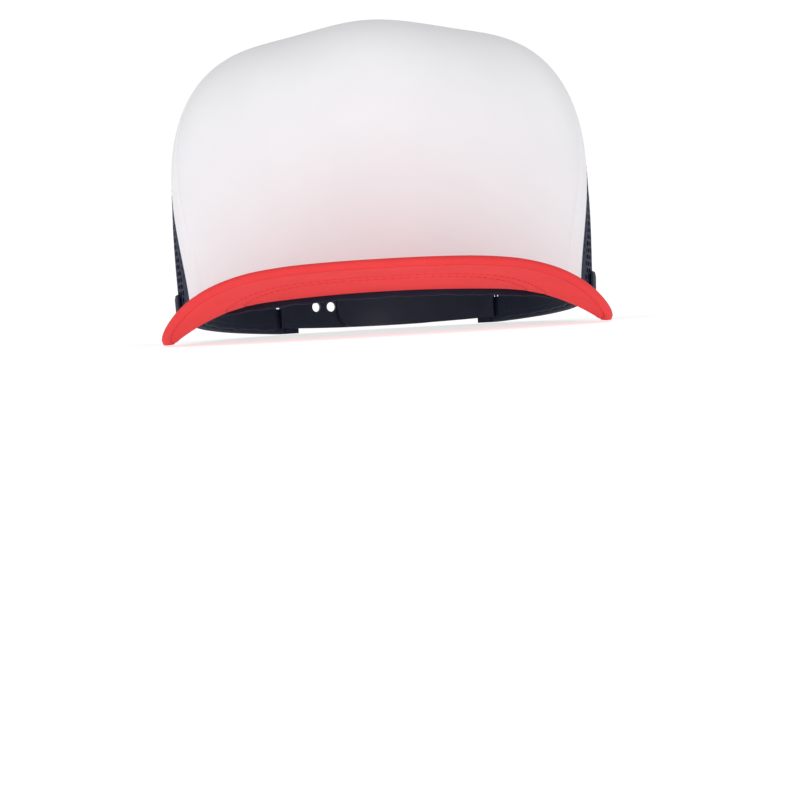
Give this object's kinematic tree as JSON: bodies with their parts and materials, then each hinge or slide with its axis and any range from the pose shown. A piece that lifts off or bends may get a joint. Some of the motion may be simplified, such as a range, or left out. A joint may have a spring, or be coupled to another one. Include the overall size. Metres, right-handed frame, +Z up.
{
  "type": "trucker cap",
  "caption": "Five-panel cap with a foam front, mesh sides and back, a curved cloth peak and a snap strap.",
  "frame": {"origin": "bottom centre of the bounding box, on the surface that the cap rests on", "axes": "+Z up, -Y towards the front of the peak, +X to the wearer's left"},
  "size_m": [0.1764, 0.262, 0.1295],
  "materials": {
    "foam_cloth": "smooth white knit over foam",
    "red_cloth": "fine plain-weave red cotton",
    "navy_mesh": "stiff polyester net",
    "navy_cloth": "matt navy cotton tape",
    "navy_plastic": "satin moulded plastic"
  },
  "bodies": {
    "root": {"front_panel": "foam_cloth", "side_mesh_left": "navy_mesh", "side_mesh_right": "navy_mesh", "back_mesh_left": "navy_mesh", "back_mesh_right": "navy_mesh", "front_seam_tape_left": "navy_cloth", "front_seam_tape_right": "navy_cloth", "side_seam_tape_left": "navy_cloth", "side_seam_tape_right": "navy_cloth", "back_seam_tape": "navy_cloth", "sweatband": "navy_cloth", "rim_binding_left": "navy_cloth", "rim_binding_right": "navy_cloth", "arch_binding": "navy_cloth", "peak": "red_cloth", "peg_strap": "navy_plastic", "hole_strap": "navy_plastic", "button": "navy_cloth"}
  },
  "joints": []
}
